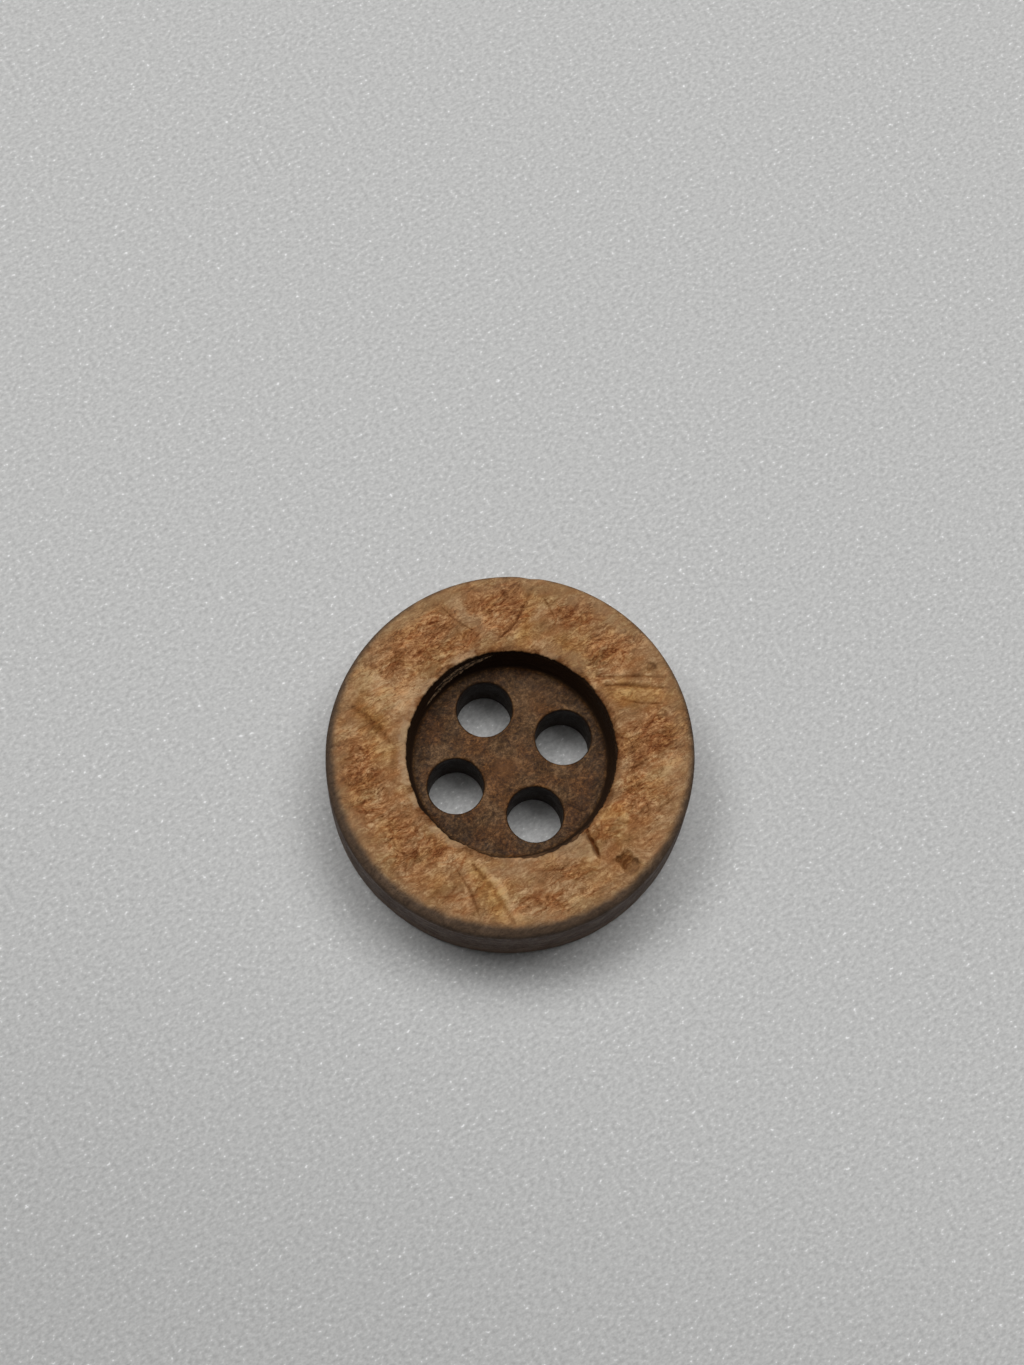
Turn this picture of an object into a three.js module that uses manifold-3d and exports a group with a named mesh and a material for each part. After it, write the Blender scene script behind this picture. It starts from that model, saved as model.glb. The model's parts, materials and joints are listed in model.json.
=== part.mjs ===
// Four-hole sew-on button turned from one piece of coconut shell.
// The pale fibrous skin of the nut is left as a ring on the raised rim, and the round well in the
// middle is cut down into the dark hard shell, where the four thread holes go through.
// Millimetres, +Z up out of the face, origin at the centre of the flat back.

import * as THREE from "three";
import { mergeVertices } from "three/addons/utils/BufferGeometryUtils.js";
import Module from "manifold-3d";

// Driving dimensions
const outerDiameter = 12.5; // a 20 ligne button
const thickness = 3.5;
const wellDepth = 1.35;
const wellMouthDiameter = 7.1;
const wellFloorDiameter = 6.7; // the well's wall leans in a little towards its floor
const skinThickness = 0.2;
const threadHoleDiameter = 1.9;
const threadHolePitch = 2.85; // side of the square that the four holes stand on

// Edges broken by sanding and tumbling
const faceEdgeRadius = 0.35; // deeper than the skin, so that the shell shows along the edge
const backEdgeRadius = 0.25;
const wellMouthEdgeRadius = 0.06;
const wellFootRadius = 0.18;
const holeEdgeRadius = 0.06;

// Fineness of the round surfaces
const bodySegments = 96;
const holeSegments = 32;
const arcSteps = 4;

// Sizes that follow from the driving dimensions
const outerRadius = outerDiameter / 2;
const wellMouthRadius = wellMouthDiameter / 2;
const wellFloorRadius = wellFloorDiameter / 2;
const webThickness = thickness - wellDepth;
const skinBottom = thickness - skinThickness;
const wallLean = (wellMouthRadius - wellFloorRadius) / wellDepth;
const wellRadiusAtSkin = wellMouthRadius - wallLean * skinThickness;
const faceEdgeAngleAtSkin = THREE.MathUtils.radToDeg(Math.asin(1 - skinThickness / faceEdgeRadius));

const wasm = await Module();
wasm.setup();

// Points of a circular arc in the (radius, height) plane, ends included.
function arc(centreRadius, centreHeight, radius, startDegrees, endDegrees) {
  const points = [];
  for (let step = 0; step <= arcSteps; step += 1) {
    const angle = THREE.MathUtils.degToRad(THREE.MathUtils.lerp(startDegrees, endDegrees, step / arcSteps));
    points.push(new THREE.Vector2(
      centreRadius + radius * Math.cos(angle),
      centreHeight + radius * Math.sin(angle),
    ));
  }
  return points;
}

function point(radius, height) {
  return new THREE.Vector2(radius, height);
}

// A profile of (radius, height) points turned about the Z axis.
function turned(profile, segments) {
  const geometry = new THREE.LatheGeometry(profile, segments);
  geometry.rotateX(Math.PI / 2);
  return geometry;
}

function toSolid(geometry) {
  const bare = geometry.clone();
  bare.deleteAttribute("normal");
  bare.deleteAttribute("uv");
  const merged = mergeVertices(bare);
  return new wasm.Manifold(new wasm.Mesh({
    numProp: 3,
    vertProperties: new Float32Array(merged.attributes.position.array),
    triVerts: new Uint32Array(merged.index.array),
  }));
}

function toGeometry(solid) {
  const mesh = solid.getMesh();
  const geometry = new THREE.BufferGeometry();
  geometry.setAttribute("position", new THREE.BufferAttribute(mesh.vertProperties, 3));
  geometry.setIndex(new THREE.BufferAttribute(mesh.triVerts, 1));
  geometry.computeVertexNormals();
  return geometry;
}

// Part of the rounding between the side and the face.
function faceEdge(startDegrees, endDegrees) {
  return arc(outerRadius - faceEdgeRadius, thickness - faceEdgeRadius, faceEdgeRadius, startDegrees, endDegrees);
}

// Hard shell: flat back, straight side, flat seat under the skin, leaning well wall and well floor.
function shellBlank() {
  const profile = [
    point(0, 0),
    ...arc(outerRadius - backEdgeRadius, backEdgeRadius, backEdgeRadius, -90, 0),
    ...faceEdge(0, faceEdgeAngleAtSkin),
    point(wellRadiusAtSkin, skinBottom),
    ...arc(wellFloorRadius - wellFootRadius, webThickness + wellFootRadius, wellFootRadius, 0, -90),
    point(0, webThickness),
  ];
  return toSolid(turned(profile, bodySegments));
}

// Tool that cuts one thread hole through the web and rounds over both of its mouths.
function threadHoleCutter() {
  const holeRadius = threadHoleDiameter / 2;
  const flareRadius = holeRadius + holeEdgeRadius;
  const overrun = 1;
  const profile = [
    point(0, -overrun),
    point(flareRadius, -overrun),
    ...arc(flareRadius, holeEdgeRadius, holeEdgeRadius, 270, 180),
    ...arc(flareRadius, webThickness - holeEdgeRadius, holeEdgeRadius, 180, 90),
    point(flareRadius, webThickness + overrun),
    point(0, webThickness + overrun),
  ];
  return toSolid(turned(profile, holeSegments));
}

function shellCore() {
  const cutter = threadHoleCutter();
  const half = threadHolePitch / 2;
  let solid = shellBlank();
  for (const x of [-half, half]) {
    for (const y of [-half, half]) {
      solid = solid.subtract(cutter.translate([x, y, 0]));
    }
  }
  return toGeometry(solid);
}

// Pale skin: a flat ring on the rim, which carries the upper part of the face's edge and is just
// broken where it meets the well.
function faceRing() {
  const profile = [
    point(wellRadiusAtSkin, skinBottom),
    ...faceEdge(faceEdgeAngleAtSkin, 90),
    ...arc(wellMouthRadius + wellMouthEdgeRadius, thickness - wellMouthEdgeRadius, wellMouthEdgeRadius, 90, 180),
    point(wellRadiusAtSkin, skinBottom),
  ];
  return toGeometry(toSolid(turned(profile, bodySegments)));
}

const darkShell = new THREE.MeshStandardMaterial({ color: 0x4e3a2a, roughness: 0.55, metalness: 0 });
const paleSkin = new THREE.MeshStandardMaterial({ color: 0x8c6642, roughness: 0.75, metalness: 0 });

function part(name, geometry, material) {
  const mesh = new THREE.Mesh(geometry, material);
  mesh.name = name;
  return mesh;
}

const button = new THREE.Group();
button.add(part("shell_core", shellCore(), darkShell));
button.add(part("face_ring", faceRing(), paleSkin));

export default button;
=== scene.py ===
"""Looks of a four-hole sew-on button of coconut shell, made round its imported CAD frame.

The CAD nodes are replaced by finer meshes of the same size: the dark shell with its well, holes,
side and back, and the pale skin on the rim with its pits, veins and torn edge.
Lengths and places are in millimetres until a mesh is finished, because the remesh doesn't take
voxels that are small enough for a button in metres.
"""

import json
import math

import bpy
import numpy as np
from mathutils import Matrix, Quaternion, Vector


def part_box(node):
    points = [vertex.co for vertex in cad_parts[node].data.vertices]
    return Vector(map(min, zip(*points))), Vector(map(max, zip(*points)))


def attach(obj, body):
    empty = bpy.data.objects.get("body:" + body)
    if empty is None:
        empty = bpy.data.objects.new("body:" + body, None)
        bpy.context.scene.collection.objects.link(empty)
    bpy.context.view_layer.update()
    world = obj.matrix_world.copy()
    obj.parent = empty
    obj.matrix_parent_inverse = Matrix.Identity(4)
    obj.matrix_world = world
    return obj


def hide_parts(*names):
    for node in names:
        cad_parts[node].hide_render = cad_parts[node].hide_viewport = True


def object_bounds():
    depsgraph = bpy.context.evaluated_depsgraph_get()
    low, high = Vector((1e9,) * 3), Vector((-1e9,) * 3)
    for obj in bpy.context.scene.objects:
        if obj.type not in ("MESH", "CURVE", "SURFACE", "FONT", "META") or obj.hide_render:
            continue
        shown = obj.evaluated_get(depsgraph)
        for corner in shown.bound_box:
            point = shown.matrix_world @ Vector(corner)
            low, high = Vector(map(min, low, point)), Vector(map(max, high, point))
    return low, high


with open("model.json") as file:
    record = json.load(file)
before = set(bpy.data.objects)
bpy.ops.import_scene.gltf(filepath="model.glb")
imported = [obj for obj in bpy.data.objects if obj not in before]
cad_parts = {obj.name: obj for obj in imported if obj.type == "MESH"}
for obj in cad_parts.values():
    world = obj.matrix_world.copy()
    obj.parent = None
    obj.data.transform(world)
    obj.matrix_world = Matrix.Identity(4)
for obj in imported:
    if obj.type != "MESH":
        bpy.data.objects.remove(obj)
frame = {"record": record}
cad_low, cad_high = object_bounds()

MM = 0.001

# Sizes read from the frame
OUTER_RADIUS = cad_high.x / MM
THICKNESS = cad_high.z / MM
SKIN_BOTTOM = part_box("shell_core")[1].z / MM
WELL_FLOOR = next(
    mount["pos_m"][2] / MM for mount in frame["record"]["mounts"] if mount["name"] == "well_floor"
)

# Sizes of the CAD part that the frame doesn't state
WELL_MOUTH_RADIUS = 3.55
WELL_FLOOR_RADIUS = 3.35
WELL_FOOT_RADIUS = 0.18
WELL_MOUTH_EDGE = 0.06
HOLE_RADIUS = 0.95
HOLE_OFFSET = 1.425
HOLE_EDGE = 0.06
FACE_EDGE = 0.35
BACK_EDGE = 0.25

# Where the skin's underside meets the face's rounded edge, up from the horizontal
EDGE_ANGLE = math.degrees(math.asin(1 - (THICKNESS - SKIN_BOTTOM) / FACE_EDGE))

# Share by which the face's outline is drawn in along X, because the photo's is narrower that way,
# and the heights between which that grows from nothing to all of it
SIDE_SQUEEZE = 0.011
SQUEEZE_HEIGHTS = (0.8, 3.1)

# Direction of the shell's fibres, from +X towards +Y
GRAIN = math.radians(50)


# ---------------------------------------------------------------------------------------------
# Noise and marks, as functions of places in millimetres
# ---------------------------------------------------------------------------------------------

# Brings the noise to about -1 to 1, and keeps the button's centre off the corners of its grid
NOISE_GAIN = 1.6
NOISE_SHIFT = (17.3, 9.1)


def smoothstep(low, high, value):
    """0 at low, 1 at high, with a soft start and end."""
    t = np.clip((value - low) / (high - low), 0, 1)
    return t * t * (3 - 2 * t)


def gradient_noise(x, y, seed, period=256):
    """Smooth noise of about -1 to 1 with features one unit across."""
    angle = np.random.default_rng(seed).uniform(0, 2 * np.pi, (period, period))
    column = np.floor(x).astype(int)
    row = np.floor(y).astype(int)
    total = np.zeros_like(x)
    for i in (0, 1):
        for j in (0, 1):
            dx = x - column - i
            dy = y - row - j
            turn = angle[(row + j) % period, (column + i) % period]
            weight = smoothstep(1, 0, np.abs(dx)) * smoothstep(1, 0, np.abs(dy))
            total += weight * (dx * np.cos(turn) + dy * np.sin(turn))
    return total * NOISE_GAIN


def fractal_noise(x, y, size, seed, octaves=3, stretch=1.0, angle=GRAIN):
    """Noise with features of this size, longer by stretch along the angle."""
    along = (x * math.cos(angle) + y * math.sin(angle)) / (size * stretch)
    across = (y * math.cos(angle) - x * math.sin(angle)) / size
    shift_x, shift_y = NOISE_SHIFT
    total = np.zeros_like(x)
    for octave in range(octaves):
        factor = 2.0**octave
        layer = gradient_noise(along * factor + shift_x, across * factor + shift_y, seed + octave)
        total += layer / factor
    return total


def blot(x, y, centre, length, width, degrees, power=2.0):
    """1 at the centre of an oval mark, falling to about a third at its edge."""
    angle = math.radians(degrees)
    dx = x - centre[0]
    dy = y - centre[1]
    along = np.abs(dx * math.cos(angle) + dy * math.sin(angle)) / (length / 2)
    across = np.abs(dy * math.cos(angle) - dx * math.sin(angle)) / (width / 2)
    return np.exp(-(along**power + across**power))


def line_distance(x, y, points):
    """Distance to a line of straight stretches, and how far along it, 0 to 1, the nearest point is."""
    nearest = np.full_like(x, 1e9)
    place = np.zeros_like(x)
    stretches = len(points) - 1
    for index, ((x0, y0), (x1, y1)) in enumerate(zip(points, points[1:])):
        dx, dy = x1 - x0, y1 - y0
        t = np.clip(((x - x0) * dx + (y - y0) * dy) / (dx * dx + dy * dy), 0, 1)
        distance = np.hypot(x - x0 - t * dx, y - y0 - t * dy)
        closer = distance < nearest
        nearest = np.where(closer, distance, nearest)
        place = np.where(closer, (index + t) / stretches, place)
    return nearest, place


def line_mark(x, y, points, width):
    """1 on a line, fading over its width and thinning out towards its two ends."""
    distance, place = line_distance(x, y, points)
    taper = 0.35 + 0.65 * np.sqrt(np.clip(4 * place * (1 - place), 0, 1))
    return np.exp(-((distance / (0.5 * width * taper)) ** 2))


def strongest(overlapping):
    """Marks laid over each other: at each place, the strongest of them."""
    return np.max(list(overlapping), 0)


# ---------------------------------------------------------------------------------------------
# Meshes
# ---------------------------------------------------------------------------------------------

def make_object(name, vertices, faces):
    """A smooth-shaded mesh object of these vertices and faces."""
    mesh = bpy.data.meshes.new(name)
    mesh.from_pydata([tuple(v) for v in vertices], [], [tuple(f) for f in faces])
    mesh.polygons.foreach_set("use_smooth", [True] * len(mesh.polygons))
    mesh.update()
    obj = bpy.data.objects.new(name, mesh)
    bpy.context.scene.collection.objects.link(obj)
    return obj


def read_vertices(mesh, kind):
    """A row of three numbers for each vertex: its place is kind "co", its normal kind "normal"."""
    values = np.empty(len(mesh.vertices) * 3)
    mesh.vertices.foreach_get(kind, values)
    return values.reshape(-1, 3)


def write_points(mesh, points):
    mesh.vertices.foreach_set("co", points.ravel())
    mesh.update()


def add_masks(mesh, masks):
    """Keeps named numbers between 0 and 1 at each vertex, for the material to read."""
    for name, values in masks.items():
        mask = mesh.attributes.new(name, "FLOAT", "POINT")
        mask.data.foreach_set("value", np.clip(values, 0, 1).astype(np.float32).ravel())


def loop_grid(columns, rows):
    """Faces of a grid that closes on itself both ways, like a torus."""
    faces = []
    for i in range(columns):
        for j in range(rows):
            after, above = (i + 1) % columns, (j + 1) % rows
            faces.append((i * rows + j, after * rows + j, after * rows + above, i * rows + above))
    return faces


def turn_profile(name, profile, columns):
    """A solid turned about Z from a profile that starts and ends on the axis."""
    angles = np.arange(columns) * 2 * math.pi / columns
    vertices = [(0, 0, profile[0][1]), (0, 0, profile[-1][1])]
    for radius, height in profile[1:-1]:
        vertices += [(radius * math.cos(a), radius * math.sin(a), height) for a in angles]
    faces = []
    rings = len(profile) - 2
    for i in range(columns):
        after = (i + 1) % columns
        faces.append((0, 2 + after, 2 + i))
        for ring in range(rings - 1):
            low, high = 2 + ring * columns, 2 + (ring + 1) * columns
            faces.append((low + i, low + after, high + after, high + i))
        last = 2 + (rings - 1) * columns
        faces.append((last + i, last + after, 1))
    return make_object(name, vertices, faces)


def arc(radius, height, size, start, end, steps=8):
    """Points of an arc about (radius, height), between two angles in degrees."""
    angles = np.radians(np.linspace(start, end, steps + 1))
    return [(radius + size * math.cos(a), height + size * math.sin(a)) for a in angles]


def well_radius(height):
    """Radius of the well's leaning wall at a height."""
    share = (height - WELL_FLOOR) / (THICKNESS - WELL_FLOOR)
    return WELL_FLOOR_RADIUS + share * (WELL_MOUTH_RADIUS - WELL_FLOOR_RADIUS)


def dent(turn, radius, degrees, width, depth):
    """Depth of a soft dent in a round edge of this radius, centred on a direction."""
    gap = (turn - math.radians(degrees) + math.pi) % (2 * math.pi) - math.pi
    return depth * np.exp(-((gap * radius / (width / 2)) ** 2))


def apply_modifier(obj, kind, **settings):
    modifier = obj.modifiers.new(kind.lower(), kind)
    for name, value in settings.items():
        setattr(modifier, name, value)
    evaluated = obj.evaluated_get(bpy.context.evaluated_depsgraph_get())
    mesh = bpy.data.meshes.new_from_object(evaluated)
    obj.modifiers.clear()
    obj.data = mesh


# ---------------------------------------------------------------------------------------------
# Dark shell
# ---------------------------------------------------------------------------------------------

# Fineness of the meshes, and how far the hole cutters reach past the back and the well's floor
SHELL_COLUMNS = 288
SHELL_VOXEL = 0.065
HOLE_COLUMNS = 96
HOLE_ARC_STEPS = 5
CUTTER_OVERRUN = 1

# Along the outer edge the shell reaches a little up inside the skin, so that no gap opens there: by
# how much, and how far in from the seat's edge the top of that starts, ends and is down again
LEDGE_RISE = 0.07
LEDGE_INSETS = (0.10, 0.25, 0.30)

# How far the finished surface strays from the turned one
FLOOR_WAVES = 0.008
FLOOR_GRIT = 0.007
BACK_WAVES = 0.008
SIDE_WAVES = 0.010
SIDE_WEAR = 0.012
TOOL_MARKS = 0.018

# Dull places on the well's floor: (centre, length, width, direction in degrees)
DULL_PATCHES = [
    ((0.40, 0.60), 1.7, 0.8, 135),
    ((-2.25, 0.00), 0.8, 1.4, 0),
    ((-0.40, 2.65), 1.0, 0.6, 0),
    ((0.50, -2.20), 0.7, 0.6, 0),
    ((2.60, 0.80), 0.6, 0.8, 0),
]

# Rusty places on the well's floor: (centre, length, width, direction in degrees, strength)
RUSTY_PATCHES = [
    ((-0.1, -0.3), 0.8, 0.7, 0, 1.0),
    ((0.1, 2.4), 1.4, 1.0, 60, 0.4),
]

# Step in the outline at the face: (direction in degrees, width, depth)
OUTLINE_NOTCH = (103.7, 0.5, 0.04)


def hole_cutters():
    """Four tools in one mesh, each rounding over both mouths of its hole."""
    flare = HOLE_RADIUS + HOLE_EDGE
    bottom, top = -CUTTER_OVERRUN, WELL_FLOOR + CUTTER_OVERRUN
    profile = [(0, bottom), (flare, bottom)]
    profile += arc(flare, HOLE_EDGE, HOLE_EDGE, 270, 180, HOLE_ARC_STEPS)
    profile += arc(flare, WELL_FLOOR - HOLE_EDGE, HOLE_EDGE, 180, 90, HOLE_ARC_STEPS)
    profile += [(flare, top), (0, top)]
    tool = turn_profile("hole_cutters", profile, HOLE_COLUMNS)
    points = read_vertices(tool.data, "co")
    faces = [tuple(p.vertices) for p in tool.data.polygons]
    all_points, all_faces = [], []
    for x in (-HOLE_OFFSET, HOLE_OFFSET):
        for y in (-HOLE_OFFSET, HOLE_OFFSET):
            start = len(all_points)
            all_points += [tuple(p + (x, y, 0)) for p in points]
            all_faces += [tuple(start + v for v in face) for face in faces]
    tool.data = bpy.data.meshes.new("hole_cutters")
    tool.data.from_pydata(all_points, [], all_faces)
    return tool


def shell_blank():
    """The turned shell, before the holes."""
    seat_outer = OUTER_RADIUS - FACE_EDGE + FACE_EDGE * math.cos(math.radians(EDGE_ANGLE))
    seat_inner = well_radius(SKIN_BOTTOM)
    foot = WELL_FOOT_RADIUS
    profile = [(0, 0)]
    profile += arc(OUTER_RADIUS - BACK_EDGE, BACK_EDGE, BACK_EDGE, -90, 0)
    profile += arc(OUTER_RADIUS - FACE_EDGE, THICKNESS - FACE_EDGE, FACE_EDGE, 0, EDGE_ANGLE)
    ledge_start, ledge_end, ledge_foot = (seat_outer - inset for inset in LEDGE_INSETS)
    ledge_top = SKIN_BOTTOM + LEDGE_RISE
    profile += [(ledge_start, ledge_top), (ledge_end, ledge_top)]
    profile += [(ledge_foot, SKIN_BOTTOM), (seat_inner, SKIN_BOTTOM)]
    profile += arc(WELL_FLOOR_RADIUS - foot, WELL_FLOOR + foot, foot, 0, -90)
    profile += [(0, WELL_FLOOR)]
    return turn_profile("button_shell", profile, SHELL_COLUMNS)


def relieve_shell(obj):
    """Moves the shell's surface by hundredths of a millimetre, as sanding and drilling leave it, and
    adds the masks that its material reads."""
    mesh = obj.data
    points = read_vertices(mesh, "co")
    normals = read_vertices(mesh, "normal")
    x, y, z = points.T
    upward = normals[:, 2]
    radius = np.hypot(x, y)
    turn = np.arctan2(y, x)
    waves = fractal_noise(x, y, size=0.9, seed=11)
    grit = fractal_noise(x, y, size=0.16, seed=21, octaves=2, stretch=1.6)
    around = fractal_noise(turn * OUTER_RADIUS, z * 3, size=0.7, seed=31, stretch=2.5, angle=0)
    along = turn * WELL_MOUTH_RADIUS
    tool_marks = fractal_noise(along, z, size=0.12, seed=41, octaves=2, stretch=9.0, angle=0)

    floor = smoothstep(0.1, 0.02, np.abs(z - WELL_FLOOR)) * (upward > 0.5)
    side = smoothstep(OUTER_RADIUS - 0.5, OUTER_RADIUS - 0.1, radius)
    near_wall = (radius > WELL_FLOOR_RADIUS - 0.1) * (radius < WELL_MOUTH_RADIUS + 0.1)
    wall = near_wall * (z > WELL_FLOOR + 0.1)
    move = floor * (FLOOR_WAVES * waves + FLOOR_GRIT * grit)
    move += side * SIDE_WAVES * around
    move += wall * TOOL_MARKS * tool_marks
    move += (upward < -0.5) * (BACK_WAVES * waves - BACK_WAVES)
    move = np.where(side > 0, np.minimum(move - SIDE_WEAR * side, 0), move)
    move -= dent(turn, OUTER_RADIUS, *OUTLINE_NOTCH) * side * smoothstep(2.7, 3.3, z)
    moved = points + normals * move[:, None]
    moved[:, 2] = np.maximum(moved[:, 2], 0)
    write_points(mesh, moved)

    inside = radius < WELL_MOUTH_RADIUS + 0.05
    rusty = sum(strength * blot(x, y, *patch) for *patch, strength in RUSTY_PATCHES)
    dull = strongest(blot(x, y, *patch) for patch in DULL_PATCHES)
    add_masks(mesh, {
        "side": side * (np.abs(upward) < 0.98),
        # Painted light reflected from the paper: the side is paler towards the back
        "painted_paper_light": smoothstep(1.5, 0.3, z + 0.3 * around),
        # Painted shade: darker towards the foot of the well's wall, where floor and wall meet
        "foot": inside * (z > 1) * smoothstep(2.3, 3.1, radius + 0.3 * waves),
        "rusty": rusty * floor,
        "dull": dull * floor,
        "bore": inside * smoothstep(0.85, 0.5, upward) * (z > 0.02),
    })


def build_shell():
    shell = shell_blank()
    cutters = hole_cutters()
    apply_modifier(shell, "BOOLEAN", operation="DIFFERENCE", object=cutters, solver="EXACT")
    bpy.data.objects.remove(cutters)
    apply_modifier(shell, "REMESH", mode="VOXEL", voxel_size=SHELL_VOXEL, use_smooth_shade=True)
    relieve_shell(shell)
    return shell


# ---------------------------------------------------------------------------------------------
# Pale skin
# ---------------------------------------------------------------------------------------------

# Fineness of the mesh
RING_COLUMNS = 1080
RING_TOP_ROWS = 84
EDGE_STEPS = 12
SKIRT_STEPS = 6

# The skin thins out outside and in the well, below the seat: how deep its outer end lies in the
# shell, how far down it reaches in the well, and how much of that it also sinks into the wall
SKIRT_SINK = 0.03
SKIRT_DROPS = (0.06, 0.12)
SKIRT_SLOPE = 0.25

# Height of the face's waves, single fibres and ridges, depth of its pores, and how far its middle
# height lies below the turned face
FACE_WAVES = 0.012
FIBRE_HEIGHT = 0.005
RIDGE_HEIGHT = 0.012
PORE_DEPTH = 0.02
FACE_WEAR = 0.02

# How far in from the outline the skin turns dark where its edge is burnt, and by how much that is
# less towards +Y and more towards -Y: painted shade on the side that faces away from the lamps
SKIN_EDGE_INSET = 0.20
SKIN_EDGE_LEAN = 0.19

# Marks on the face: (centre, length, width, direction in degrees, strength)
RUST_PATCHES = [
    ((-4.3, 2.5), 3.0, 1.7, 60, 1.0),
    ((-2.2, 4.7), 2.0, 1.6, 35, 1.0),
    ((0.4, 5.3), 1.3, 0.8, 20, 1.0),
    ((-2.8, 2.9), 1.3, 0.7, 45, 0.6),
    ((-1.2, -3.95), 1.5, 0.6, 165, 0.8),
    ((1.9, 4.5), 1.9, 1.5, 60, 1.0),
    ((4.4, 2.1), 2.4, 1.5, 50, 1.1),
    ((4.4, 0.0), 1.8, 1.3, 70, 1.0),
    ((3.9, -1.6), 0.8, 0.5, 20, 0.7),
    ((3.0, -3.2), 1.5, 0.7, 20, 0.5),
    ((2.7, -4.4), 1.8, 0.8, 5, 0.6),
    ((0.2, -4.9), 1.3, 1.1, 60, 0.25),
    ((-2.2, -4.0), 2.6, 1.6, 140, 0.6),
    ((-3.7, -3.2), 1.6, 1.2, 130, 0.6),
    ((-4.6, -2.2), 2.2, 1.2, 110, 1.0),
]
STRAW_PATCHES = [
    ((-4.6, 0.55), 2.4, 1.0, 2, 1.2),
    ((-4.9, -1.3), 1.4, 0.6, 150, 1.0),
    ((-3.70, 0.80), 0.4, 1.6, 15, 0.4),
    ((-4.1, -1.4), 1.1, 0.8, 150, 0.7),
    ((3.3, 3.35), 1.6, 0.4, 14, 0.4),
    ((5.2, 1.1), 1.9, 0.7, 65, 1.1),
    ((1.35, -4.65), 2.6, 0.55, 142, 1.4),
    ((3.9, -0.95), 1.2, 0.9, 40, 1.5),
    ((-0.4, -4.0), 1.4, 0.5, 165, 0.5),
    ((-1.0, -5.0), 1.0, 0.7, 60, 0.4),
    ((2.6, -5.0), 1.6, 0.5, 25, 0.5),
    ((-4.6, 3.4), 1.6, 0.7, 50, 0.6),
    ((3.78, -2.42), 0.5, 0.32, 137, 1.4),
    ((0.2, -4.9), 1.0, 0.7, 60, 0.5),
]
GOLD_PATCHES = [
    ((-1.0, 4.2), 2.4, 0.6, 100, 1.0),
    ((0.6, 4.2), 1.6, 1.0, 30, 0.9),
    ((3.3, 3.35), 2.4, 0.6, 14, 1.5),
    ((3.9, -0.9), 1.2, 0.8, 40, 1.1),
    ((4.7, -1.3), 1.3, 0.7, 70, 0.5),
    ((0.8, -4.6), 2.6, 0.6, 142, 1.0),
    ((-4.9, -0.4), 2.0, 0.6, 163, 1.0),
    ((4.2, -3.0), 1.2, 0.7, 45, 0.6),
    ((-4.2, -1.4), 1.4, 0.9, 150, 0.8),
    ((-0.9, -4.9), 1.2, 0.9, 60, 0.6),
]
GREY_PATCHES = [
    ((-3.1, 4.0), 2.2, 0.5, 158, 1.0),
    ((0.7, 3.75), 2.2, 0.35, 175, 0.8),
    ((-3.6, -0.2), 0.35, 2.6, 0, 0.5),
    ((3.7, 0.6), 0.35, 1.8, 0, 0.5),
    ((1.4, -3.75), 2.0, 0.35, 15, 0.6),
    ((2.3, -3.05), 1.6, 0.35, 30, 0.6),
    ((-4.9, 3.3), 1.6, 0.6, 50, 0.6),
    ((-4.0, -4.3), 2.4, 0.6, 130, 0.6),
    ((1.6, 5.6), 2.0, 0.4, 165, 0.7),
]
DARK_PATCHES = [
    ((-4.75, -0.62), 2.1, 0.42, 163, 0.3),
    ((-5.4, 0.0), 0.5, 0.3, 90, 0.5),
    ((-3.55, -1.6), 0.7, 0.3, 110, 0.7),
    ((4.7, 2.2), 1.0, 0.35, 50, 0.8),
    ((4.2, 1.3), 0.6, 0.3, 40, 0.5),
    ((5.1, 3.1), 0.8, 0.3, 120, 0.6),
    ((2.85, -3.25), 0.5, 0.25, 15, 0.3),
    ((3.1, -4.2), 0.9, 0.16, -15, 0.7),
    ((3.62, -2.02), 0.80, 0.18, -43, 1.0),
    ((0.20, 3.62), 1.6, 0.20, 0, 0.5),
    # The next mark is painted shadow, under the upper edge of the pit beside it
    ((4.86, -2.02), 0.45, 0.22, -25, 1.0),
    ((-2.75, 3.35), 0.55, 0.10, 55, 1.0),
    ((-2.42, 3.22), 0.45, 0.10, 75, 0.9),
    ((-3.05, 3.60), 0.50, 0.09, -20, 0.8),
    ((-3.45, 3.45), 0.55, 0.09, 60, 0.8),
    ((-3.75, 4.50), 0.60, 0.10, 50, 0.7),
    ((-4.25, 3.85), 0.55, 0.08, 50, 0.7),
    ((-2.05, 5.22), 0.40, 0.14, 50, 0.9),
    ((-4.95, 2.55), 0.80, 0.14, 60, 0.7),
    ((-4.85, 1.75), 0.60, 0.12, 55, 0.6),
    ((1.85, 5.30), 0.35, 0.14, 20, 0.8),
    ((4.75, 2.70), 0.60, 0.14, 50, 0.8),
    ((4.15, 1.40), 0.60, 0.12, 60, 0.8),
    ((3.85, 1.15), 0.35, 0.09, -60, 0.7),
    ((4.45, -0.95), 0.60, 0.09, 40, 0.7),
    ((4.20, -1.50), 0.50, 0.10, 30, 0.7),
    ((3.45, -1.45), 0.55, 0.08, -50, 0.7),
    ((-3.7, -4.3), 2.0, 0.6, 130, 0.5),
]

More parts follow.
